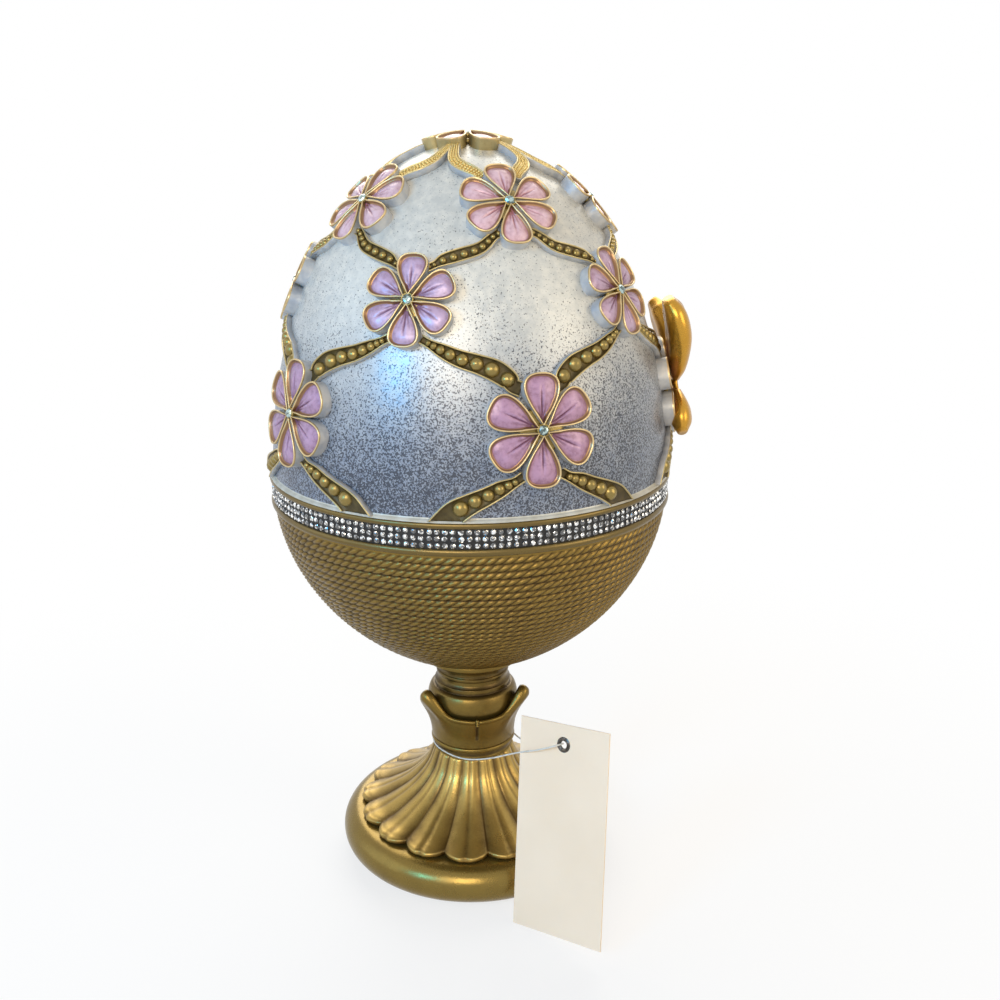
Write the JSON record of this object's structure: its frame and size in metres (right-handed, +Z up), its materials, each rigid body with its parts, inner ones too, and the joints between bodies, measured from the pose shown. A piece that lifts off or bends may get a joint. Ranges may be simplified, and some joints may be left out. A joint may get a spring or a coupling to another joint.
{
  "type": "decorative egg on stand",
  "caption": "Jewelled enamel egg with cast flowers, beaded straps, a stone-set girdle and a gilt bow, on a turned brass stand, with a blank swing tag.",
  "frame": {"origin": "middle of the foot's underside, where it rests", "axes": "+Z up along the stand's axis, the bow faces +X, the picture is taken from -Y"},
  "size_m": [0.1694, 0.1716, 0.3049],
  "materials": {
    "felt": "soft black felt",
    "brass": "antique brass, satin",
    "steel": "plain",
    "bowl_gilt": "cast resin gilt all over, rope-twist relief",
    "dark_backing": "gunmetal backing",
    "rhinestone": "small faceted stones, foiled",
    "pearl_enamel": "cast resin with pearl enamel, fine dark speckle",
    "lilac_enamel": "enamel over cast petals, gilt edges",
    "rose_enamel": "enamel over cast petals, gilt edges",
    "pale_stone": "faceted, foiled",
    "strap_gilt": "gilt edges, olive channel with beads",
    "bow_gilt": "bright gilt",
    "clear_thread": "clear",
    "card": "smooth, bare",
    "eyelet": "dark"
  },
  "bodies": {
    "egg_on_stand": {"felt_pad": "felt", "foot": "brass", "base_washer": "steel", "base_nut": "steel", "tie_rod": "steel", "fluted_skirt": "brass", "thread_collar": "brass", "leaf_cup": "brass", "neck": "brass", "egg_bowl": "bowl_gilt", "lower_rim": "brass", "upper_rim": "brass", "stone_band": "dark_backing", "stone_rows": "rhinestone", "egg_dome": "pearl_enamel", "flowers_low": "lilac_enamel", "flowers_middle": "lilac_enamel", "flowers_high": "rose_enamel", "flower_crown": "rose_enamel", "stones_low": "pale_stone", "stones_middle": "pale_stone", "stones_high": "pale_stone", "stone_crown": "pale_stone", "straps_crown": "strap_gilt", "straps_high": "strap_gilt", "straps_middle": "strap_gilt", "straps_low": "strap_gilt", "bow_knot": "bow_gilt", "bow_loops": "bow_gilt", "bow_tails": "bow_gilt"},
    "tag_loop": {"tag_thread": "clear_thread"},
    "tag": {"hang_tag": "card", "tag_eyelet": "eyelet"}
  },
  "joints": [
    {"name": "tag_orbit", "type": "hinge", "parent": "egg_on_stand", "child": "tag_loop", "pos_m": [0, 0, 0.0485], "axis": [0, 0, 1], "continuous": true},
    {"name": "tag_swing", "type": "hinge", "parent": "tag_loop", "child": "tag", "pos_m": [0.0353, -0.057, 0.0762], "axis": [-0.7821, 0.6111, -0.1219], "range_deg": [0, 45]}
  ]
}
